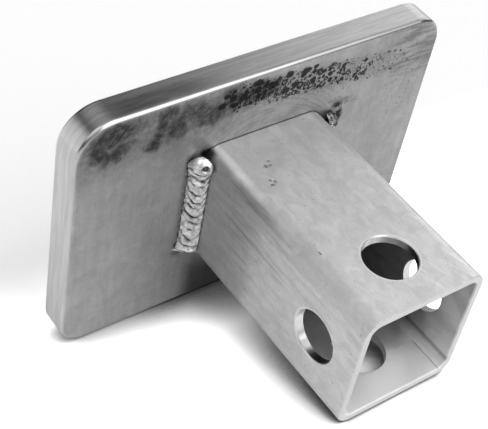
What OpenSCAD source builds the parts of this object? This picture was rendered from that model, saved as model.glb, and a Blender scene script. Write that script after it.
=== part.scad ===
// Hitch cover: a thick aluminium plate on a short square tube.
// The tube slides into a trailer hitch's receiver, and a hitch pin through
// either pair of its holes holds it there. Millimetres.
// +Z is up and the tube points along +Y, into the receiver.
// The origin is where the two pin axes cross on the axis of the tube.

/* [Face plate] */
// Width of the plate
plate_w = 154; // [100:1:220]
// Height of the plate
plate_h = 102.4; // [80:0.2:150]
// Thickness of the plate
plate_t = 12.7; // [6:0.1:20]
// Corner radius, top corner on the +X side
corner_r_top_left = 15; // [5:0.5:22]
// Corner radius, top corner on the -X side
corner_r_top_right = 11.5; // [5:0.5:22]
// Corner radius of both bottom corners
corner_r_bottom = 10; // [5:0.5:22]
// Rounding of the edge round the show face
front_edge_r = 1.5; // [0.5:0.1:2.5]
// Rounding of the edge round the back face
back_edge_r = 2; // [0.5:0.1:3]

/* [Tube] */
// Outer width and height of the square tube
tube_w = 50.8; // [40:0.1:64]
// Wall of the tube
tube_wall = 3.175; // [2:0.025:5]
// Outer corner radius of the tube
tube_corner_r = 6.35; // [5.5:0.05:9]
// Length of the tube behind the plate
tube_l = 88.9; // [70:0.1:160]
// Broken edges at the open end of the tube
end_break = 0.4; // [0.1:0.05:0.8]

/* [Pin holes] */
// Diameter of the hitch pin holes
pin_hole_d = 19.05; // [12:0.05:24]
// Distance from the open end of the tube to the pin axes
pin_from_end = 19.8; // [16:0.1:30]
// Broken edge round each pin hole
hole_break = 0.3; // [0.1:0.05:0.6]

/* [Weld beads] */
// Leg of the bead along the plate
leg_plate = 5.7; // [3:0.1:8]
// Leg of the bead along the tube
leg_tube = 5; // [3:0.1:8]
// How far the beads stop short of the tube's lower side
bead_bottom_gap = 3.9; // [0:0.1:8]
// How far the left bead stops short of the tube's upper side
bead_top_gap = 1.2; // [0.6:0.1:5]
// How far the right bead stops short of the tube's upper side
right_bead_top_gap = 2.6; // [0.6:0.1:5]
// Distance from one ripple to the next
ripple_pitch = 3.9; // [2.5:0.1:6]
// Height of the ripples
ripple_h = 0.55; // [0.2:0.05:0.9]
// How far the middle of a ripple hangs below its two toes
ripple_sag = 2.4; // [0:0.1:4]
// How much wider the round end of a bead is than the rest
blob_growth = 1.18; // [1:0.01:1.4]

/* [Hidden] */
$fn = 64;
aluminium = [0.74, 0.75, 0.76];
polished = [0.84, 0.85, 0.86];
weld_silver = [0.88, 0.88, 0.88];

tube_half = tube_w / 2;
bore_half = tube_half - tube_wall;
bore_corner_r = tube_corner_r - tube_wall;
pin_hole_r = pin_hole_d / 2;
// The back face of the plate, where the tube starts
root_y = pin_from_end - tube_l;
// Cutters run past what they cut by this much
cut_past = 1;
// Longer than any section is, to clip one at the axis of a corner
section_reach = tube_l + plate_w;
// Each straight side is drawn from both of its ends, over this share of its length,
// and each section reaches this share of the solid's smaller side inwards
side_share = 0.75;
inward_share = 0.6;

bead_bottom_z = -tube_half + bead_bottom_gap;
// The crown of a bead is fuller than a straight face (1) and flatter than an arc (2)
crown_power = 1.65;
// Rings of points to each ripple and to the round end, and points across each ring
points_per_ripple = 5;
blob_points = 10;
points_across = 10;
// Share of a ripple that is its steep lower lip, and how far the ripples leave an even beat
lip_share = 0.2;
ripple_wander = 0.14;
// Angles that shuffle that wander from ripple to ripple and from bead to bead
ripple_turn = 137;
seed_turn = 71;
// Share of its height that a ripple loses before the next covers it, and how late it loses it
ripple_fall = 0.8;
fall_power = 1.6;
// The foot of a bead is this much wider, and its round end closes to this small flat
foot_flare = 0.15;
blob_tip = 0.02;
// The crater that the arc leaves in the round end: its size, and its place from plate to tube
crater_r = 1.5;
crater_depth = 0.9;
crater_place = 0.62;
// Length of the crown's arc from plate to tube, over the leg
crown_arc = 1.6;
// The hollow left unfilled at the top, by the tube's round corner: its depth over the leg, and its length
pit_share = 0.5;
pit_length = 4.5;
// A bead's straight facets stand off the tube's round corner by up to this much, so that none cuts in
corner_slack = 0.05;

// A solid with a rounded rectangular outline, w by h, centred on the Y axis.
// corner_r lists its radii: +X top, -X top, -X bottom, +X bottom.
// The child is the section through its edge: X is outwards from the outline,
// Y is along the solid, and it reaches inwards past the middle of the smaller side.
// A corner and the starts of its two sides share one place, so they meet at every size.
module rounded_prism(w, h, corner_r) {
    xs = [w / 2, -w / 2, -w / 2, w / 2];
    zs = [h / 2, h / 2, -h / 2, -h / 2];
    for (k = [0:3]) {
        along_x = k == 0 || k == 2;
        next_side = side_share * ((along_x ? w : h) - corner_r[k] - corner_r[(k + 1) % 4]);
        last_side = side_share * ((along_x ? h : w) - corner_r[k] - corner_r[(k + 3) % 4]);
        centre = [xs[k] - sign(xs[k]) * corner_r[k], 0, zs[k] - sign(zs[k]) * corner_r[k]];
        translate(centre) {
            // The round corner
            rotate([-90, -90 * (k + 1), 0])
                rotate_extrude(angle = 90)
                    intersection() {
                        translate([corner_r[k], 0]) children();
                        translate([0, -section_reach]) square([section_reach, 2 * section_reach]);
                    }
            // The straight side towards the next corner
            rotate([0, -90 * (k + 1), 0])
                translate([corner_r[k], 0, 0])
                    linear_extrude(next_side) children();
            // The straight side towards the last corner
            rotate([0, -90 * k, 0])
                translate([corner_r[k], 0, -last_side])
                    linear_extrude(last_side) children();
        }
    }
}

// Section of the plate: a flat edge with a rounding at each face
module plate_section() {
    depth = inward_share * min(plate_w, plate_h);
    mid = plate_t / 2;
    translate([-depth, -plate_t]) square([depth - front_edge_r, mid]);
    translate([-depth, -plate_t + front_edge_r]) square([depth, mid - front_edge_r]);
    translate([-front_edge_r, -plate_t + front_edge_r]) circle(front_edge_r);
    translate([-depth, -mid]) square([depth - back_edge_r, mid]);
    translate([-depth, -mid]) square([depth, mid - back_edge_r]);
    translate([-back_edge_r, -back_edge_r]) circle(back_edge_r);
}

module face_plate() {
    radii = [corner_r_top_left, corner_r_top_right, corner_r_bottom, corner_r_bottom];
    color(polished)
        translate([0, root_y, 0])
            rounded_prism(plate_w, plate_h, radii)
                plate_section();
}

// One round hole through both walls, along the Z axis, with broken edges
module pin_hole() {
    cylinder(r = pin_hole_r, h = tube_w + 2 * cut_past, center = true);
    for (side = [-1, 1])
        scale([1, 1, side])
            translate([0, 0, tube_half - hole_break])
                cylinder(r1 = pin_hole_r, r2 = pin_hole_r + hole_break + cut_past, h = hole_break + cut_past);
}

module receiver_tube() {
    depth = inward_share * tube_w;
    color(aluminium)
        difference() {
            translate([0, root_y, 0])
                rounded_prism(tube_w, tube_w, [for (k = [0:3]) tube_corner_r])
                    polygon([[-depth, 0], [0, 0], [0, tube_l - end_break],
                             [-end_break, tube_l], [-depth, tube_l]]);
            // The inside of the tube, flared by the broken edge of its mouth
            translate([0, root_y, 0])
                rounded_prism(2 * bore_half, 2 * bore_half, [for (k = [0:3]) bore_corner_r])
                    polygon([[-depth, -cut_past], [0, -cut_past], [0, tube_l - end_break],
                             [end_break + cut_past, tube_l + cut_past], [-depth, tube_l + cut_past]]);
            pin_hole();
            rotate([0, 90, 0]) pin_hole();
        }
}

// Distance from the tube's axis to the side of a bead on its wall at height z. The foot follows
// the tube's lower corner, and the top stands off its upper corner.
function tube_side(z) =
    let (past_flat = max(0, -z - (tube_half - tube_corner_r)))
    tube_half - tube_corner_r + sqrt(max(0, tube_corner_r ^ 2 - past_flat ^ 2))
        + corner_slack * sqrt(past_flat / tube_corner_r);

// Where the k-th of count ripples starts, as a share of the rippled length: a hand's even beat
function ripple_start(k, count, seed) =
    (k + (k > 0 && k < count ? ripple_wander * sin(k * ripple_turn + seed * seed_turn) : 0)) / count;

// Height of a ripple at t: it rises steeply at its lower lip and sinks to where the next covers it
function ripple(t) =
    t < lip_share ? t / lip_share : 1 - ripple_fall * ((t - lip_share) / (1 - lip_share)) ^ fall_power;

// Half of the round end's length, and how many ripples there are below it
blob_r = leg_plate * blob_growth / 2;
function ripple_count(top_z) = round((top_z - 2 * blob_r - bead_bottom_z) / ripple_pitch);

// Stations along a bead: [height of the toes, size of the crown, rise of the ripple, share of sag]
function stations(top_z, seed) =
    let (
        count = ripple_count(top_z),
        blob_z = top_z - 2 * blob_r,
        run = blob_z - bead_bottom_z
    )
    concat(
        [for (k = [0:count - 1], i = [0:points_per_ripple - 1])
            let (
                t = i / points_per_ripple,
                from = ripple_start(k, count, seed),
                to = ripple_start(k + 1, count, seed),
                foot = k == 0 ? 1 - t : 0
            )
            [bead_bottom_z + run * (from + (to - from) * t), 1 + foot_flare * foot,
             k == 0 && i == 0 ? 0 : ripple(t), 1 - foot]
        ],
        [for (i = [0:blob_points])
            let (
                t = i / blob_points,
                across = cos(180 * (1 - t)),
                round_off = across > 0 ? sqrt(max(blob_tip, 1 - across ^ 2)) : 1
            )
            [blob_z + blob_r * (1 + across), (t < lip_share ? 1 : blob_growth) * round_off,
             ripple(min(t, lip_share)) * round_off, 1 - t]
        ]
    );

// Every station is a ring: the inner corner, then across the crown from the plate to the tube
function bead_points(top_z, seed) =
    [for (s = stations(top_z, seed))
        let (pit = pit_share * leg_tube * s[1] * max(0, 1 - (top_z - s[0]) / pit_length))
        each concat(
            [[tube_side(s[0]) + pit, root_y + pit, s[0]]],
            [for (j = [0:points_across])
                let (
                    v = j / points_across,
                    middle = 4 * v * (1 - v),
                    z = s[0] - ripple_sag * s[3] * middle,
                    across = (v - crater_place) * leg_tube * crown_arc,
                    off_crater = norm([z - (top_z - blob_r), across]) / crater_r,
                    dent = crater_depth * max(0, 1 - off_crater ^ 2),
                    size = s[1] + (ripple_h * s[2] * sqrt(middle) - dent) / leg_tube
                )
                [tube_side(z) + size * leg_plate * cos(90 * v) ^ (2 / crown_power),
                 root_y + size * leg_tube * sin(90 * v) ^ (2 / crown_power), z]
            ]
        )
    ];

module bead(top_z, seed) {
    n = points_across + 2;
    rings = len(stations(top_z, seed)) - 1;
    sides = [for (i = [0:rings - 1], j = [0:n - 1])
        let (a = i * n + j, b = i * n + (j + 1) % n)
        each [[a, b, b + n], [a, b + n, a + n]]];
    foot = [for (j = [1:n - 2]) [0, j + 1, j]];
    head = [for (j = [1:n - 2]) [rings * n, rings * n + j, rings * n + j + 1]];
    polyhedron(bead_points(top_z, seed), concat(sides, foot, head), convexity = 6);
}

module weld_bead_left() {
    color(weld_silver) bead(tube_half - bead_top_gap, 1);
}

module weld_bead_right() {
    color(weld_silver) mirror([1, 0, 0]) bead(tube_half - right_bead_top_gap, 4);
}

face_plate();
receiver_tube();
weld_bead_left();
weld_bead_right();
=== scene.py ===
import math

import bpy
from mathutils import Matrix, Vector, noise


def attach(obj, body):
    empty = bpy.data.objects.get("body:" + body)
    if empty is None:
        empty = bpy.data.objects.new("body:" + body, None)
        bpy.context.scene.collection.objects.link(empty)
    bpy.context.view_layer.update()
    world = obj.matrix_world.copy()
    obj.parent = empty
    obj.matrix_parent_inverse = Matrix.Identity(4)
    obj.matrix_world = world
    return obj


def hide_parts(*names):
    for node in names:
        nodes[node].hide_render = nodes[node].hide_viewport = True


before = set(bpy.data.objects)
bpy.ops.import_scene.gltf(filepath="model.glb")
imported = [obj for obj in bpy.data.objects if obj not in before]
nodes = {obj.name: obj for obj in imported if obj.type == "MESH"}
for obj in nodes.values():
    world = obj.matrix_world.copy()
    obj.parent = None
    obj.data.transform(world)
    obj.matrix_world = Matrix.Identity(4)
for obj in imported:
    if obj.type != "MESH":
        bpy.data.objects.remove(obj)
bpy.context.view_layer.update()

MM = 0.001


# Sizes of the CAD model that the looks refer to, in metres
TUBE_HALF = 25.4 * MM
TUBE_CORNER = 6.35 * MM
ROOT_Y = -69.1 * MM
TUBE_END_Y = 19.8 * MM
PLATE_T = 12.7 * MM
PLATE_X = 77 * MM
PLATE_Z = 51.2 * MM


# Camera, placed where the photograph was taken from
CAM_AZ, CAM_EL, CAM_ROLL = math.radians(136.337), math.radians(44.081), math.radians(12.106)
CAM_OFFSET = Vector((-3.702, -12.504, 461.733)) * MM
FOCAL_PX = 1275.343
IMAGE_W = 488
SENSOR_MM = 36


def make_camera():
    side = Vector((math.cos(CAM_AZ), math.sin(CAM_AZ), 0))
    back = Vector((math.sin(CAM_AZ) * math.cos(CAM_EL), -math.cos(CAM_AZ) * math.cos(CAM_EL), math.sin(CAM_EL)))
    up = back.cross(side)
    right = side * math.cos(CAM_ROLL) + up * math.sin(CAM_ROLL)
    top = up * math.cos(CAM_ROLL) - side * math.sin(CAM_ROLL)
    turn = Matrix((right, top, back)).transposed()
    place = turn @ CAM_OFFSET + Vector((0, ROOT_Y, 0))
    data = bpy.data.cameras.new("camera")
    data.sensor_width = SENSOR_MM
    data.lens = FOCAL_PX / IMAGE_W * SENSOR_MM
    data.clip_start = 0.01
    camera = bpy.data.objects.new("camera", data)
    camera.matrix_world = Matrix.Translation(place) @ turn.to_4x4()
    bpy.context.scene.collection.objects.link(camera)
    bpy.context.scene.camera = camera


# Node helpers: a socket or a plain number may stand for any input
class Mat:
    def __init__(self, name):
        self.mat = bpy.data.materials.new(name)
        self.mat.use_nodes = True
        self.tree = self.mat.node_tree
        self.tree.nodes.clear()
        self.out = self.tree.nodes.new("ShaderNodeOutputMaterial")
        self.pos = self.tree.nodes.new("ShaderNodeTexCoord").outputs["Object"]
        split = self.node("ShaderNodeSeparateXYZ", Vector=self.pos)
        self.x, self.y, self.z = split.outputs

    def node(self, kind, **inputs):
        n = self.tree.nodes.new(kind)
        for key, value in inputs.items():
            self.put(n.inputs[key.replace("_", " ")], value)
        return n

    def put(self, socket, value):
        if isinstance(value, bpy.types.NodeSocket):
            self.tree.links.new(value, socket)
        else:
            socket.default_value = value

    def math(self, op, *args, clamp=False):
        n = self.tree.nodes.new("ShaderNodeMath")
        n.operation = op
        n.use_clamp = clamp
        for socket, value in zip(n.inputs, args):
            self.put(socket, value)
        return n.outputs[0]

    def add(self, a, b): return self.math("ADD", a, b)
    def sub(self, a, b): return self.math("SUBTRACT", a, b)
    def mul(self, a, b): return self.math("MULTIPLY", a, b)
    def low(self, a, b): return self.math("MINIMUM", a, b)
    def high(self, a, b): return self.math("MAXIMUM", a, b)
    def abs(self, a): return self.math("ABSOLUTE", a)
    def inv(self, a): return self.math("SUBTRACT", 1.0, a)

    def ramp(self, value, a, b, to_a=0.0, to_b=1.0):
        """to_a where value is at a, to_b where it is at b, smooth between them."""
        n = self.tree.nodes.new("ShaderNodeMapRange")
        n.interpolation_type = "SMOOTHSTEP"
        for key, v in zip(("Value", "From Min", "From Max", "To Min", "To Max"), (value, a, b, to_a, to_b)):
            self.put(n.inputs[key], v)
        return n.outputs[0]

    def stretch(self, scale, place=(0, 0, 0), turn=(0, 0, 0), vector=None):
        n = self.node("ShaderNodeMapping", Vector=vector or self.pos)
        n.inputs["Scale"].default_value = scale
        n.inputs["Location"].default_value = place
        n.inputs["Rotation"].default_value = turn
        return n.outputs[0]

    def noise(self, size, detail=3.0, rough=0.55, vector=None, stretch=None, warp=0.0, seed=0.0):
        """Noise with features about size metres across, stretched along an axis where stretch is above 1."""
        s = 1 / size
        scale = [s / k for k in (stretch or (1, 1, 1))]
        v = self.stretch(scale, (seed, seed * 1.7, seed * 0.6), vector=vector)
        n = self.node("ShaderNodeTexNoise", Vector=v, Scale=1.0, Detail=detail, Roughness=rough, Distortion=warp)
        return n.outputs["Fac"]

    def blobs(self, marks, vector):
        """Distance to the nearest of some elliptic marks (x, z, rx, rz, turn) in mm: 1 is a mark's edge."""
        nearest = None
        for x, z, rx, rz, turn in marks:
            n = self.node("ShaderNodeMapping", Vector=vector)
            n.vector_type = "TEXTURE"
            n.inputs["Location"].default_value = (x * MM, 0, z * MM)
            n.inputs["Rotation"].default_value = (0, math.radians(turn), 0)
            n.inputs["Scale"].default_value = (rx * MM, 1e6, rz * MM)
            d = self.tree.nodes.new("ShaderNodeVectorMath")
            d.operation = "LENGTH"
            self.put(d.inputs[0], n.outputs[0])
            nearest = d.outputs["Value"] if nearest is None else self.low(nearest, d.outputs["Value"])
        return nearest

    def past_corner(self):
        """How far a point lies outside the middles of the tube's round corners."""
        straight = TUBE_HALF - TUBE_CORNER
        past_x = self.high(self.sub(self.abs(self.x), straight), 0.0)
        past_z = self.high(self.sub(self.abs(self.z), straight), 0.0)
        return self.math("SQRT", self.add(self.mul(past_x, past_x), self.mul(past_z, past_z)))

    def marks_on_top(self, marks):
        """The same for marks (x, y, rx, ry, turn) on a face that looks up."""
        flat = self.node("ShaderNodeCombineXYZ", X=self.x, Z=self.y).outputs[0]
        return self.blobs(marks, flat)

    def mix(self, fac, a, b):
        n = self.tree.nodes.new("ShaderNodeMix")
        n.data_type = "FLOAT"
        for socket, value in zip((n.inputs[0], n.inputs[2], n.inputs[3]), (fac, a, b)):
            self.put(socket, value)
        return n.outputs[0]

    def bump(self, height, distance, strength=1.0, normal=None):
        n = self.node("ShaderNodeBump", Height=height)
        n.inputs["Distance"].default_value = distance
        n.inputs["Strength"].default_value = strength
        if normal:
            self.put(n.inputs["Normal"], normal)
        return n.outputs[0]

    def finish(self, grey, rough, normal=None, metallic=1.0):
        """A neutral metal of that brightness and roughness."""
        colour = self.node("ShaderNodeCombineColor", Red=grey, Green=grey, Blue=grey)
        bsdf = self.node("ShaderNodeBsdfPrincipled", Base_Color=colour.outputs[0], Roughness=rough)
        self.put(bsdf.inputs["Metallic"], metallic)
        if normal:
            self.put(bsdf.inputs["Normal"], normal)
        self.put(self.out.inputs["Surface"], bsdf.outputs[0])
        return self.mat


def dress(obj, material):
    obj.data.materials.clear()
    obj.data.materials.append(material)


# Marks on the plate's back face, listed in mm: x, z, half width, half height, turn
SMUDGES = (
    (63, 45.5, 9.5, 4.4, 9),
    (67.5, 40, 3.6, 8, 19),
    (61, 38, 5, 3, 30),
    (44.5, 43.5, 3.4, 7, -18),
    (47.5, 36.5, 2.6, 4, -25),
    (38.5, 40, 5, 4.5, 0),
    (33, 44.5, 8, 4.5, 0),
    (25, 41, 8, 5, 0),
    (17.5, 43.5, 7, 5, 0),
    (5, 43.5, 9, 4.5, 0),
)
BLACK_SPOTS = (
    (21.2, 42.6, 1.8, 1.4, 10),
    (20, 46.2, 1.5, 1.1, 0),
    (17.2, 44.6, 1.7, 1.5, 30),
    (16.2, 41.4, 1.9, 1.2, -10),
    (13.2, 43.2, 1.6, 1.3, 0),
    (7.5, 48, 2.6, 1.4, 0),
    (0.5, 44.5, 2.4, 1.6, 20),
    (-5.5, 40, 2.4, 1.6, 0),
    (-9.5, 41.5, 2, 1.2, 0),
    (-6, 47, 1.8, 1.6, 0),
    (-13.5, 46.3, 2.2, 1.5, 0),
    (-17.5, 46.8, 1.3, 0.9, 0),
    (-22, 43.2, 1.2, 0.9, 0),
    (-24.5, 43.2, 0.9, 0.8, 0),
    (-28.5, 38, 0.9, 0.7, 0),
    (-32, 38.4, 1.1, 0.7, 0),
    (-37.5, 36.6, 1.1, 0.7, 0),
    (-42.3, 36.6, 0.8, 0.6, 0),
)


def plate_material():
    """A dull rolled back face with oxide smudges and pits, and bright ground and polished edges."""
    m = Mat("plate")
    geo = m.tree.nodes.new("ShaderNodeNewGeometry")
    facing = m.node("ShaderNodeSeparateXYZ", Vector=geo.outputs["Normal"]).outputs
    back = m.ramp(facing[1], 0.74, 0.94)
    cloud = m.noise(26 * MM, 4, 0.6)
    fine = m.noise(1.1 * MM, 4, 0.65)

    # Strokes of a brush that went round the tube
    radius = m.math("SQRT", m.add(m.mul(m.x, m.x), m.mul(m.z, m.z)))
    turn = m.math("ARCTAN2", m.z, m.x)
    polar = m.node("ShaderNodeCombineXYZ", X=m.mul(turn, 12 * MM), Y=radius).outputs[0]
    strokes = m.noise(0.9 * MM, 3, 0.7, vector=polar, stretch=(5, 1, 1))
    rolled = m.noise(0.8 * MM, 3, 0.7, stretch=(1, 1, 14), seed=2)

    # Soft oxide smudges along the top
    wander = m.node("ShaderNodeTexNoise", Vector=m.pos, Scale=160.0, Detail=4.0, Roughness=0.6).outputs["Color"]
    shift = m.tree.nodes.new("ShaderNodeVectorMath")
    shift.operation = "MULTIPLY_ADD"
    m.put(shift.inputs[0], wander)
    shift.inputs[1].default_value = (9 * MM, 0, 9 * MM)
    off_plate = m.node("ShaderNodeVectorMath", Vector=m.pos)
    off_plate.inputs[1].default_value = (-4.5 * MM, 0, -4.5 * MM)
    m.put(shift.inputs[2], off_plate.outputs[0])
    warped = shift.outputs[0]
    smudge = m.ramp(m.blobs(SMUDGES, warped), 1.55, 0.45)
    blotch = m.noise(2.6 * MM, 4, 0.65, seed=15)
    smudge = m.mul(smudge, m.ramp(m.add(m.mul(strokes, 0.5), m.mul(blotch, 0.7)), 0.42, 0.72, 0.55, 1.0))

    # A band of pits that thins out towards the far end
    band_middle = m.add(m.mul(m.x, 0.1), 42.5 * MM)
    off_band = m.abs(m.sub(m.z, band_middle))
    thick = m.ramp(m.x, -80 * MM, -15 * MM, 0.28, 1.0)
    band = m.mul(m.ramp(m.x, 28 * MM, 12 * MM), m.mul(thick, m.ramp(off_band, 8.5 * MM, 3.5 * MM)))
    pits = None
    for size, most, seed in ((2.7, 0.50, 1), (1.7, 0.46, 2), (1.0, 0.42, 3)):
        v = m.stretch([1 / (size * MM)] * 3, (seed * 3.3, 0.5, seed * 1.9))
        cells = m.node("ShaderNodeTexVoronoi", Vector=v, Scale=1.0)
        chance = m.node("ShaderNodeSeparateColor", Color=cells.outputs["Color"]).outputs[0]
        radius_here = m.mul(m.mul(band, most), m.add(chance, 0.35))
        wobble = m.add(cells.outputs["Distance"], m.mul(m.sub(fine, 0.5), 0.35))
        dot = m.ramp(m.sub(wobble, radius_here), 0.02, -0.1)
        hole = m.mul(m.ramp(m.sub(wobble, m.mul(radius_here, 0.5)), 0.02, -0.08), m.ramp(m.x, 6 * MM, -6 * MM, 0.0, 0.85))
        dot = m.mul(m.mul(dot, m.inv(hole)), m.ramp(m.sub(band, m.mul(chance, 0.35)), 0.0, 0.1))
        pits = dot if pits is None else m.high(pits, dot)
    spots = m.ramp(m.add(m.blobs(BLACK_SPOTS, m.pos), m.mul(m.sub(fine, 0.5), 1.2)), 1.2, 0.75)
    pits = m.high(pits, spots)

    # Soot at the welds' toes and in the hollow at their top, with painted shade in the left one's hollow; under the
    # tube, painted shade with some soot stain
    toe_x = m.sub(m.abs(m.x), 31 * MM)
    toe = m.mul(m.ramp(m.abs(toe_x), 3.2 * MM, 0.4 * MM), m.ramp(m.abs(m.z), 27 * MM, 23 * MM))
    hollow = m.blobs(((24.5, 23, 3.4, 2.8, 0), (-34.2, 18.5, 1.9, 4.2, 0), (-32.5, 24, 2.4, 1.5, 0)), m.pos)
    soot_and_hollow_shade = m.high(m.mul(toe, m.ramp(fine, 0.35, 0.6, 0.2, 0.65)), m.ramp(m.add(hollow, m.mul(fine, 1.8)), 2.3, 1.3))
    soot_and_hollow_shade = m.high(soot_and_hollow_shade, m.ramp(m.sub(m.past_corner(), TUBE_CORNER), 0.6 * MM, 0.2 * MM, 0.0, 0.75))
    soot_and_shade_below_tube = m.ramp(m.z, -21 * MM, -40 * MM)
    soot_and_shade_below_tube = m.mul(soot_and_shade_below_tube, m.ramp(m.abs(m.add(m.x, m.mul(m.sub(cloud, 0.5), 6 * MM))), 29 * MM, 21 * MM))

    tarnish = m.ramp(m.noise(7 * MM, 5, 0.62, seed=27, warp=0.7), 0.3, 0.7)
    wiped = m.ramp(m.noise(2.4 * MM, 3, 0.6, stretch=(1, 1, 9), seed=29), 0.3, 0.7)
    mill = m.mul(m.mix(cloud, 0.44, 0.58), m.mix(fine, 0.86, 1.12))
    mill = m.mul(mill, m.mul(m.mix(tarnish, 0.9, 1.07), m.mix(wiped, 0.94, 1.05)))
    mill = m.mul(mill, m.mix(m.ramp(radius, 62 * MM, 40 * MM), m.mix(rolled, 0.92, 1.08), m.mix(strokes, 0.82, 1.18)))
    halo = m.mul(m.ramp(m.z, 39 * MM, 33 * MM), m.ramp(m.z, 24 * MM, 27 * MM))
    halo = m.mul(halo, m.ramp(m.abs(m.x), 36 * MM, 26 * MM))
    mill = m.mul(mill, m.sub(1.0, m.mul(halo, m.ramp(strokes, 0.3, 0.7, 0.3, 0.1))))
    far = m.mul(m.ramp(m.x, -46 * MM, -60 * MM), m.ramp(m.z, 22 * MM, 34 * MM))
    brushed = m.noise(1.6 * MM, 4, 0.65, stretch=(7, 1, 1), seed=17)
    mill = m.mul(mill, m.sub(1.0, m.mul(far, m.ramp(brushed, 0.4, 0.62, 0.0, 0.4))))
    flecks = m.ramp(m.noise(1.0 * MM, 3, 0.6, seed=19), 0.60, 0.68)
    speckled = m.mul(m.ramp(m.x, -48 * MM, -60 * MM), m.mul(m.ramp(m.z, 2 * MM, 12 * MM), m.ramp(m.z, 42 * MM, 34 * MM)))
    speckled = m.high(speckled, m.mul(m.ramp(m.x, 10 * MM, -8 * MM), m.mul(m.ramp(off_band, 15 * MM, 8 * MM), 0.7)))
    mill = m.mul(mill, m.sub(1.0, m.mul(m.mul(flecks, speckled), 0.55)))
    arc = m.ramp(m.add(m.blobs(((-34, 25.5, 5.5, 2.0, -10),), m.pos), m.mul(m.sub(fine, 0.5), 3.4)), 1.4, 0.4)
    mill = m.mul(mill, m.sub(1.0, m.mul(arc, 0.4)))
    dull = m.mul(m.ramp(m.z, 22 * MM, 40 * MM), m.ramp(m.x, -5 * MM, 22 * MM))
    mill = m.mul(mill, m.sub(1.0, m.mul(dull, m.ramp(blotch, 0.35, 0.65, 0.28, 0.5))))
    mill = m.mix(m.mul(smudge, 0.97), mill, 0.06)
    mill = m.mul(mill, m.sub(1.0, m.mul(band, 0.25)))
    # Painted shade, with some soot stain, on the plate under the tube
    mill = m.mul(mill, m.sub(1.0, m.mul(soot_and_shade_below_tube, 0.72)))
    mill = m.mix(m.mul(pits, 0.93), mill, 0.012)
    # Soot, with painted shade in the hollow at the left weld's top
    mill = m.mix(soot_and_hollow_shade, mill, 0.02)
    # The ground edges: lines along them, and a dark smear on the top one
    ground = m.ramp(m.noise(1.3 * MM, 4, 0.65, stretch=(16, 1, 16), seed=21), 0.33, 0.67)
    edge = m.mul(m.mix(m.noise(6 * MM, 3, 0.6, stretch=(2, 1, 2)), 0.56, 0.64), m.mix(ground, 0.9, 1.1))
    # Painted light: the side edges are painted brighter than the top and bottom ones
    edge = m.mul(edge, m.ramp(m.abs(m.x), PLATE_X - 3 * MM, PLATE_X - 0.5 * MM, 1.0, 1.15))
    wave = m.mul(m.sub(m.noise(7 * MM, 3, 0.6, stretch=(2.5, 1, 1), seed=23), 0.5), 7 * MM)
    smear = m.mul(m.ramp(m.add(m.y, wave), -78.5 * MM, -76 * MM), m.ramp(m.add(m.y, wave), -70 * MM, -72.5 * MM))
    smear = m.mul(smear, m.mul(m.ramp(m.x, 12 * MM, 38 * MM), m.ramp(m.x, 66 * MM, 54 * MM)))
    smear = m.mul(smear, m.ramp(m.z, PLATE_Z - 1 * MM, PLATE_Z - 0.4 * MM))
    edge = m.mul(edge, m.sub(1.0, m.mul(smear, m.mix(ground, 0.2, 0.55))))
    grey = m.mix(back, edge, mill)
    rough = m.mix(back, m.mix(cloud, 0.18, 0.24), m.add(m.mix(fine, 0.42, 0.54), m.mul(smudge, 0.1)))
    relief = m.sub(m.add(m.mul(strokes, 0.4), m.mul(fine, 0.6)), pits)
    normal = m.bump(m.mix(back, m.mul(ground, 0.1), relief), 0.00005)
    metal = m.mix(back, 1.0, m.mix(m.high(pits, m.mul(smudge, 0.6)), 0.75, 1.0))
    return m.finish(grey, rough, normal, metal)


# Marks on the tube, in mm along y and then across: pits on its top, dark drawn streaks on its side
TOP_PITS = (
    (11.8, -52.9, 0.9, 0.8, 0),
    (10.0, -52.6, 0.7, 0.6, 0),
    (9.4, -54.6, 0.6, 0.5, 0),
    (14.9, -44.4, 0.9, 0.7, 0),
    (13.2, -45.2, 0.7, 0.8, 0),
    (14.4, -46.6, 0.6, 0.5, 0),
    (19.7, -12.1, 0.4, 0.9, 0),
)


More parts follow.
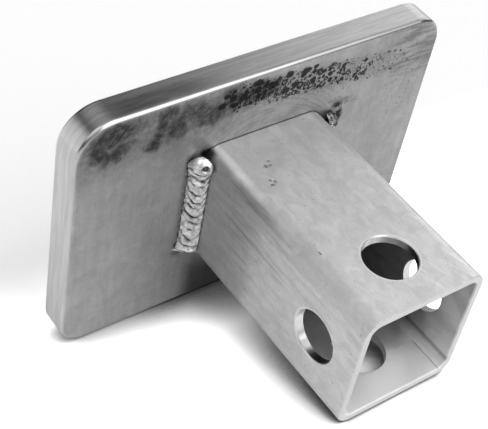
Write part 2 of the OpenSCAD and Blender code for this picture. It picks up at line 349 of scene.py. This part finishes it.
def tube_material():
    """Drawn aluminium: mottled, streaked along its length, darker near the welds from grime and painted shade, bright
    at its saw-cut end, with painted light on the outside near it.
    """
    m = Mat("tube")
    geo = m.tree.nodes.new("ShaderNodeNewGeometry")
    facing = m.node("ShaderNodeSeparateXYZ", Vector=geo.outputs["Normal"]).outputs
    reach = m.past_corner()
    inside = m.ramp(reach, TUBE_CORNER - 0.5 * MM, TUBE_CORNER - 0.9 * MM)
    outside = m.inv(inside)
    cloud = m.noise(11 * MM, 5, 0.6, stretch=(1, 1.6, 1), warp=0.6)
    mottle = m.ramp(m.noise(4.5 * MM, 4, 0.62, stretch=(1, 1.5, 1), seed=3, warp=0.8), 0.3, 0.7)
    lines = m.noise(0.8 * MM, 4, 0.7, stretch=(1, 50, 1), seed=5)
    broad = m.noise(3.2 * MM, 3, 0.6, stretch=(1, 22, 1), seed=9)
    fine = m.noise(0.8 * MM, 4, 0.65)
    side = m.ramp(m.x, TUBE_HALF - 4 * MM, TUBE_HALF - 1.0 * MM)
    corner = m.mul(m.ramp(m.x, 18.5 * MM, 21.5 * MM), m.ramp(m.z, 18.5 * MM, 21.5 * MM))

    # The outside: clouds everywhere, dark drawn streaks on the side under the corner
    grey = m.mul(m.mix(cloud, 0.64, 0.82), m.mix(mottle, 0.90, 1.06))
    grey = m.mul(grey, m.mix(fine, 0.92, 1.08))
    grey = m.mul(grey, m.mul(m.mix(lines, 0.94, 1.06), m.mix(broad, 0.94, 1.06)))
    streak = m.ramp(m.noise(2.6 * MM, 4, 0.62, stretch=(1, 13, 1), seed=12, warp=0.25), 0.48, 0.66)
    streak = m.mul(streak, m.mul(side, m.ramp(m.y, -12 * MM, -30 * MM, 0.35, 1.0)))
    streak = m.mul(streak, m.ramp(m.y, -58 * MM, -44 * MM, 0.3, 1.0))
    grey = m.mul(grey, m.sub(1.0, m.mul(streak, m.ramp(m.z, -12 * MM, 14 * MM, 0.12, 0.30))))
    # The side darker towards the plate: grime and painted shade
    root = m.ramp(m.add(m.y, m.mul(m.sub(cloud, 0.5), 22 * MM)), -28 * MM, -42 * MM)
    grey = m.mul(grey, m.sub(1.0, m.mul(m.mul(side, root), 0.29)))
    # A painted highlight along the top corner near the plate
    painted_highlight = m.mul(m.ramp(m.abs(m.sub(m.x, 21.6 * MM)), 2.2 * MM, 0.4 * MM), m.ramp(m.z, 22 * MM, 23.5 * MM))
    grey = m.mul(grey, m.add(1.0, m.mul(m.mul(painted_highlight, m.ramp(m.y, -30 * MM, -55 * MM)), 0.4)))
    # Painted shade: the top corner is painted darker away from the plate, dimming its reflection there
    grey = m.mul(grey, m.sub(1.0, m.mul(corner, m.ramp(m.y, -60 * MM, -44 * MM, 0.0, 0.16))))
    # Painted light: the outside is painted brighter towards the tube's end
    grey = m.mul(grey, m.ramp(m.y, -16 * MM, 4 * MM, 1.0, 1.1))
    slanted = m.stretch((1, 1, 1), turn=(0, 0, math.radians(-19)))
    scratches = m.ramp(m.noise(1.1 * MM, 2, 0.5, vector=slanted, stretch=(1, 14, 1), seed=31), 0.56, 0.66)
    scratches = m.mul(scratches, m.mul(m.ramp(m.y, -4 * MM, 5 * MM), m.ramp(m.x, 0 * MM, -8 * MM)))
    grey = m.mul(grey, m.add(1.0, m.mul(scratches, 0.14)))
    specks = m.ramp(m.noise(1.3 * MM, 2, 0.5, seed=8), 0.70, 0.76)
    marks = m.ramp(m.add(m.marks_on_top(TOP_PITS), m.mul(m.sub(fine, 0.5), 2.4)), 1.3, 0.5)
    specks = m.high(m.mul(specks, 0.4), m.mul(m.mul(marks, m.ramp(m.z, 24 * MM, 25 * MM)), 0.7))
    grey = m.mix(specks, grey, 0.15)

    # Dark in the joint at the plate, and at the top corner soot with painted shade in the hollow above the left weld
    joint = m.ramp(m.y, ROOT_Y + 0.5 * MM, ROOT_Y + 0.15 * MM, 0.0, 0.6)
    # Soot and painted shade in the hollow above the left weld
    sooty = m.mul(m.ramp(m.y, ROOT_Y + 4.5 * MM, ROOT_Y + 1.5 * MM), m.ramp(m.x, 21.5 * MM, 23.5 * MM))
    sooty = m.mul(m.mul(sooty, m.ramp(m.z, 20 * MM, 22 * MM)), 0.9)
    grey = m.mix(m.high(joint, sooty), grey, 0.03)

    # The inside: its floor painted lighter than its walls, painted shade the deeper it lies, and dark lines low in
    # its corners; the drilled holes' walls have painted light on one side and painted shade on the other
    # Painted shade, growing deeper inside
    painted_depth_shade = m.ramp(m.add(m.y, m.mul(m.sub(cloud, 0.5), 10 * MM)), 15 * MM, -4 * MM)
    floor = m.ramp(m.z, -19 * MM, -21.5 * MM)
    inside_tone_with_painted_light_and_shade = m.mul(m.mix(floor, 0.76, 1.38), m.mix(m.ramp(cloud, 0.35, 0.65), 0.82, 1.08))
    floor_dark_line = m.mul(m.ramp(m.abs(m.add(m.x, 20 * MM)), 0.4 * MM, 0.1 * MM), m.ramp(m.y, 4 * MM, 8 * MM))
    low_wall_dark_line = m.mul(m.ramp(m.abs(m.add(m.z, 18 * MM)), 1.3 * MM, 0.4 * MM), m.ramp(m.abs(m.x), 20.5 * MM, 21.5 * MM))
    dark_line = m.high(m.mul(m.mul(floor_dark_line, floor), 0.55), m.mul(low_wall_dark_line, 0.4))
    inside_tone_with_painted_light_and_shade = m.mul(m.mul(inside_tone_with_painted_light_and_shade, m.sub(1.0, m.mul(painted_depth_shade, 0.62))), m.sub(1.0, dark_line))
    grey = m.mix(inside, grey, inside_tone_with_painted_light_and_shade)
    radial = m.math("SQRT", m.add(m.mul(m.x, m.x), m.mul(m.y, m.y)))
    across = m.math("SQRT", m.add(m.mul(m.z, m.z), m.mul(m.y, m.y)))
    bore = m.mul(m.ramp(radial, 9.8 * MM, 9.55 * MM), m.ramp(m.abs(m.z), 21.8 * MM, 22.1 * MM))
    # Painted light on one side of the wall of the holes through top and bottom, painted shade on the other
    grey = m.mix(bore, grey, m.ramp(m.x, 0 * MM, -6 * MM, 1.0, 0.3))
    side_bore = m.mul(m.ramp(across, 9.8 * MM, 9.55 * MM), m.ramp(m.abs(m.x), 21.8 * MM, 22.1 * MM))
    # The same for the holes through the sides
    grey = m.mix(side_bore, grey, m.ramp(m.y, -6 * MM, 3 * MM, 1.0, 0.35))
    lip = m.mul(m.ramp(radial, 10.7 * MM, 10.0 * MM), m.mul(outside, m.ramp(m.z, 24.4 * MM, 25 * MM)))
    side_lip = m.mul(m.ramp(across, 10.5 * MM, 10.0 * MM), m.mul(outside, m.ramp(m.abs(m.x), 24.4 * MM, 25 * MM)))
    lip = m.high(lip, m.mul(side_lip, m.ramp(m.y, 6 * MM, -2 * MM)))
    cut = m.mul(m.ramp(facing[1], 0.9, 0.98), m.ramp(m.y, TUBE_END_Y - 0.4 * MM, TUBE_END_Y - 0.2 * MM))
    saw = m.noise(0.6 * MM, 3, 0.7, stretch=(9, 1, 1), seed=4)
    grey = m.mix(m.mul(lip, 0.8), grey, 1.0)
    grey = m.mix(cut, grey, m.mix(saw, 0.8, 1.0))
    rough = m.mix(m.high(cut, lip), m.mix(fine, 0.38, 0.50), 0.3)
    normal = m.bump(m.add(m.mul(lines, 0.7), m.sub(m.mul(fine, 0.6), m.mul(specks, 1.5))), 0.00006)
    drilled = m.high(bore, side_bore)
    rough = m.mix(drilled, rough, 0.3)
    return m.finish(grey, rough, normal, m.high(m.mix(inside, 0.75, 0.6), drilled))


# The welds: bright, cleaned with a wire brush, dark in the valleys with soot and painted shade
def weld_material():
    m = Mat("weld")
    fine = m.noise(0.6 * MM, 4, 0.65)
    cloud = m.noise(2.2 * MM, 3, 0.6)
    shade = m.node("ShaderNodeAmbientOcclusion", Distance=2.2 * MM)
    uneven = m.mul(m.sub(m.noise(1.5 * MM, 3, 0.6, seed=6), 0.5), 0.5)
    # Painted shade in the valleys from ambient occlusion, broken into blotches like soot
    clear_of_soot_and_shade = m.ramp(m.add(shade.outputs["AO"], uneven), 0.5, 0.88)
    grey = m.mul(m.mix(clear_of_soot_and_shade, 0.05, 0.86), m.mix(m.ramp(cloud, 0.3, 0.7), 0.72, 1.1))
    sooty = m.mul(m.ramp(m.x, -20 * MM, -24 * MM), m.ramp(m.noise(1.6 * MM, 3, 0.6, seed=13), 0.42, 0.56))
    grey = m.mul(grey, m.sub(1.0, m.mul(sooty, m.ramp(m.z, 9 * MM, 17 * MM, 0.0, 0.85))))
    normal = m.bump(fine, 0.00012)
    return m.finish(grey, m.mix(fine, 0.24, 0.42), normal)


# Weld beads, in mm. The lips are the lowest points of the ripples, counted from the photograph.
LEG_PLATE, LEG_TUBE = 5.7, 5.0
BEAD_BOTTOM = -21.5
LIPS = (-21.5, -18.3, -14.6, -10.2, -6.5, -3.1, 1.0, 3.9, 7.6, 11.3, 14.3, 18.0)
SAG = 2.8
RIPPLE_H = 1.45
CROWN_POWER = 1.65
ALONG, ACROSS = 300, 56
BLOB_R = 3.3


def smooth(t):
    t = min(1.0, max(0.0, t))
    return t * t * (3 - 2 * t)


def bumps(a, b, seed):
    return noise.noise(Vector((a, b, seed)))


def bead_size(z, top):
    """How much wider than plain the bead is at that height: a flared foot, and a swelling near its top."""
    flare = 0.42 * smooth((BEAD_BOTTOM + 6 - z) / 6)
    swell = 0.16 * smooth((z - top + BLOB_R + 4.5) / 2.5)
    return 1 + flare + swell, 1 + 0.15 * flare + swell


def bead_relief(z, v, top, seed):
    """Height of the ripples, the crater and the grain over the plain crown, in mm."""
    hang = math.sin(math.pi * v ** 1.6)
    low = z - SAG * (1 - hang) + 1.1 * bumps(z * 0.35, v * 2.6, seed)
    k = sum(1 for lip in LIPS if low > lip)
    mid = math.sqrt(max(0.0, 4 * v * (1 - v)))
    grain = 0.42 * bumps(z * 0.45, v * 4.5, seed + 9) + 0.2 * bumps(z * 1.3, v * 9, seed + 5)
    grain += 0.07 * bumps(z * 3.4, v * 20, seed)
    if k == 0:
        return grain * mid - 0.2
    if k == len(LIPS):
        past = low - LIPS[-1]
        across = (v - 0.7) * 8.0
        crater = math.hypot((z - (top - 2.9)) / 1.3, across / 1.1)
        dent = 1.5 * max(0.0, 1 - crater ** 2) - 0.35 * math.exp(-((crater - 1.3) / 0.3) ** 2)
        return (RIPPLE_H * smooth(past / 0.7) - RIPPLE_H * 0.5 + grain) * mid - dent
    t = (low - LIPS[k - 1]) / (LIPS[k] - LIPS[k - 1])
    round_top = (0.5 - 0.5 * math.cos(2 * math.pi * t ** 0.75)) ** 0.8
    ribs = 0.10 * math.sin(t * 3 * math.pi + 3 * bumps(k, v * 3, seed))
    size = 1 + 0.5 * bumps(k * 3.1, v * 1.7, seed)
    return (RIPPLE_H * size * (round_top - 0.65) + ribs + grain) * mid


def bead_ring(z, top, hollow, seed):
    past = max(0.0, -z - (25.4 - 6.35))
    side = 25.4 - 6.35 + math.sqrt(6.35 ** 2 - past ** 2)
    wide, deep = bead_size(z, top)
    wander = 1 + 0.05 * bumps(0, z * 0.3, seed)
    over = (z - top + BLOB_R) / BLOB_R
    close = math.sqrt(max(0.003, 1 - over ** 2)) if over > 0 else 1
    middle = hollow * LEG_TUBE * smooth(over * 0.6 + 0.8)
    inner = middle * smooth(over + 1.0)
    ring = [(side + inner, ROOT_Y / MM + inner, z)]
    for j in range(ACROSS + 1):
        v = j / ACROSS
        turn = v * math.pi / 2
        out = wide * wander * LEG_PLATE * math.cos(turn) ** (2 / CROWN_POWER) if j < ACROSS else 0
        along = deep * wander * LEG_TUBE * math.sin(turn) ** (2 / CROWN_POWER)
        lift = bead_relief(z, v, top, seed) * smooth(min(v, 1 - v) / 0.06)
        out = middle + (out + lift * math.cos(turn) - middle) * close
        along = middle + (along + lift * math.sin(turn) - middle) * close
        rise = 1.4 * math.sin(math.pi * v) * smooth((BEAD_BOTTOM + 3 - z) / 3)
        ring.append((side + max(0.0, out), ROOT_Y / MM + max(0.0, along), z + rise))
    return ring


def make_bead(name, node, flip, top, hollow, seed):
    verts, faces = [], []
    n = ACROSS + 2
    for i in range(ALONG + 1):
        t = i / ALONG
        z = BEAD_BOTTOM + (top - BEAD_BOTTOM) * (1 - (1 - t) ** 1.15)
        verts += [(flip * x * MM, y * MM, z * MM) for x, y, z in bead_ring(z, top, hollow, seed)]
    for i in range(ALONG):
        for j in range(n):
            a, b = i * n + j, i * n + (j + 1) % n
            faces.append((a, b, b + n, a + n))
    faces.append(tuple(reversed(range(n))))
    faces.append(tuple(range(ALONG * n, ALONG * n + n)))
    if flip < 0:
        faces = [tuple(reversed(f)) for f in faces]
    mesh = bpy.data.meshes.new(name)
    mesh.from_pydata(verts, [], faces)
    mesh.update()
    for poly in mesh.polygons:
        poly.use_smooth = 0 < min(poly.vertices[k] % n for k in range(len(poly.vertices)))
    obj = bpy.data.objects.new(name, mesh)
    bpy.context.scene.collection.objects.link(obj)
    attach(obj, "root")
    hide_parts(node)
    return obj


make_camera()
dress(nodes["face_plate"], plate_material())
dress(nodes["receiver_tube"], tube_material())
weld = weld_material()
dress(make_bead("fine_bead_left", "weld_bead_left", 1, 24.2, 0.42, 1.0), weld)
dress(make_bead("fine_bead_right", "weld_bead_right", -1, 22.8, 0.3, 7.0), weld)


# The floor, as the part lies in the photograph: on the plate's lower back edge and the tube's end
LEAN = math.atan2(PLATE_Z - TUBE_HALF, TUBE_END_Y - ROOT_Y)
FLOOR_UP = Vector((0, -math.sin(LEAN), math.cos(LEAN)))
FLOOR_HALF = 4.0
# How pale the floor is for the light, and to the camera, which sees it overexposed; in front it is painted lighter
# still
FLOOR_GREY, FLOOR_SEEN, FLOOR_AHEAD = 0.9, 1.15, 3.0


def make_floor():
    middle = Vector((0, TUBE_END_Y, -TUBE_HALF))
    across = Vector((1, 0, 0))
    along = FLOOR_UP.cross(across)
    mesh = bpy.data.meshes.new("floor")
    corners = [middle + across * a * FLOOR_HALF + along * b * FLOOR_HALF
               for a, b in ((-1, -1), (1, -1), (1, 1), (-1, 1))]
    mesh.from_pydata(corners, [], [(0, 1, 2, 3)])
    floor = bpy.data.objects.new("floor", mesh)
    bpy.context.scene.collection.objects.link(floor)
    mat = bpy.data.materials.new("floor")
    mat.use_nodes = True
    tree = mat.node_tree
    tree.nodes.clear()
    out = tree.nodes.new("ShaderNodeOutputMaterial")
    paper = tree.nodes.new("ShaderNodeBsdfDiffuse")
    path = tree.nodes.new("ShaderNodeLightPath")
    # Painted shadow: to the camera the floor darkens where the part is near, most beside the tube
    corner = tree.nodes.new("ShaderNodeAmbientOcclusion")
    corner.inputs["Distance"].default_value = 25 * MM
    seen_with_painted_shadow = tree.nodes.new("ShaderNodeMapRange")
    seen_with_painted_shadow.inputs["From Min"].default_value = 0.36
    seen_with_painted_shadow.inputs["From Max"].default_value = 0.8
    tree.links.new(corner.outputs["AO"], seen_with_painted_shadow.inputs["Value"])
    place = tree.nodes.new("ShaderNodeTexCoord")
    split = tree.nodes.new("ShaderNodeSeparateXYZ")
    tree.links.new(place.outputs["Object"], split.inputs[0])
    ahead = tree.nodes.new("ShaderNodeMapRange")
    ahead.interpolation_type = "SMOOTHSTEP"
    ahead.inputs["From Min"].default_value = ROOT_Y - 60 * MM
    ahead.inputs["From Max"].default_value = ROOT_Y + 20 * MM
    ahead.inputs["To Min"].default_value = FLOOR_SEEN
    ahead.inputs["To Max"].default_value = FLOOR_AHEAD
    tree.links.new(split.outputs[1], ahead.inputs["Value"])
    beside = tree.nodes.new("ShaderNodeMath")
    beside.operation = "ABSOLUTE"
    tree.links.new(split.outputs[0], beside.inputs[0])
    painted_shadow_darkest = tree.nodes.new("ShaderNodeMapRange")
    painted_shadow_darkest.interpolation_type = "SMOOTHSTEP"
    painted_shadow_darkest.inputs["From Min"].default_value = TUBE_HALF
    painted_shadow_darkest.inputs["From Max"].default_value = TUBE_HALF + 30 * MM
    painted_shadow_darkest.inputs["To Min"].default_value = 0.1
    painted_shadow_darkest.inputs["To Max"].default_value = 0.75
    tree.links.new(beside.outputs[0], painted_shadow_darkest.inputs["Value"])
    tree.links.new(painted_shadow_darkest.outputs[0], seen_with_painted_shadow.inputs["To Min"])
    tree.links.new(ahead.outputs[0], seen_with_painted_shadow.inputs["To Max"])
    tone = tree.nodes.new("ShaderNodeMix")
    tone.data_type = "FLOAT"
    tone.inputs[2].default_value = FLOOR_GREY
    tree.links.new(path.outputs["Is Camera Ray"], tone.inputs[0])
    tree.links.new(seen_with_painted_shadow.outputs[0], tone.inputs[3])
    grey = tree.nodes.new("ShaderNodeCombineColor")
    for k in range(3):
        tree.links.new(tone.outputs[0], grey.inputs[k])
    tree.links.new(grey.outputs[0], paper.inputs["Color"])
    clear = tree.nodes.new("ShaderNodeBsdfTransparent")
    side = tree.nodes.new("ShaderNodeNewGeometry")
    mix = tree.nodes.new("ShaderNodeMixShader")
    tree.links.new(side.outputs["Backfacing"], mix.inputs["Fac"])
    tree.links.new(paper.outputs[0], mix.inputs[1])
    tree.links.new(clear.outputs[0], mix.inputs[2])
    tree.links.new(mix.outputs[0], out.inputs["Surface"])
    mesh.materials.append(mat)


# Studio light: pale walls all round, a dim ceiling, and soft boxes on the picture's right.
# Ways in the studio: over the floor, towards the photographer, and to the picture's right.
EYE = Vector((0.236, 0.1767, 0.3119))
TO_EYE = (EYE - FLOOR_UP * EYE.dot(FLOOR_UP)).normalized()
TO_RIGHT = FLOOR_UP.cross(TO_EYE)
# Where each soft source stands: turn from the photographer towards the right, rise over the floor,
# its half width to where it ends and to where it is full, all in degrees, and its strength
SOURCES = (
    (105, 48, 24, 10, 0.45),
    (60, 38, 32, 10, 2.6),
    (65, 62, 30, 8, 1.9),
    (152, 30, 30, 8, 1.35),
    (330, 54, 34, 10, 1.1),
    (275, 12, 42, 16, 0.95),
    (190, 4, 34, 16, 1.2),
    (18, 22, 34, 10, 0.4),
    (0, 90, 42, 10, 0.55),
)
CEILING = 0.01
WALLS = 0.15


def studio_way(turn, rise):
    turn, rise = math.radians(turn), math.radians(rise)
    level = TO_EYE * math.cos(turn) + TO_RIGHT * math.sin(turn)
    return level * math.cos(rise) + FLOOR_UP * math.sin(rise)


def make_world():
    world = bpy.data.worlds.new("studio")
    world.use_nodes = True
    bpy.context.scene.world = world
    tree = world.node_tree
    tree.nodes.clear()
    way = tree.nodes.new("ShaderNodeTexCoord").outputs["Generated"]

    def lobe(toward, none_at, full_at, strength):
        """Light that grows as the way turns towards a direction."""
        dot = tree.nodes.new("ShaderNodeVectorMath")
        dot.operation = "DOT_PRODUCT"
        dot.inputs[1].default_value = toward
        tree.links.new(way, dot.inputs[0])
        fade = tree.nodes.new("ShaderNodeMapRange")
        fade.interpolation_type = "SMOOTHSTEP"
        fade.inputs["From Min"].default_value = math.cos(math.radians(none_at))
        fade.inputs["From Max"].default_value = math.cos(math.radians(full_at))
        fade.inputs["To Max"].default_value = strength
        tree.links.new(dot.outputs["Value"], fade.inputs["Value"])
        return fade.outputs[0]

    total = None
    parts = [lobe(-FLOOR_UP, 125, 105, WALLS)]
    parts += [lobe(studio_way(turn, rise), ends, full, power) for turn, rise, ends, full, power in SOURCES]
    for part in parts:
        add = tree.nodes.new("ShaderNodeMath")
        add.inputs[0].default_value = CEILING
        if total:
            tree.links.new(total, add.inputs[0])
        tree.links.new(part, add.inputs[1])
        total = add.outputs[0]
    sky = tree.nodes.new("ShaderNodeBackground")
    out = tree.nodes.new("ShaderNodeOutputWorld")
    tree.links.new(total, sky.inputs["Strength"])
    tree.links.new(sky.outputs[0], out.inputs["Surface"])


make_floor()
make_world()

bpy.context.scene.view_settings.view_transform = "Standard"
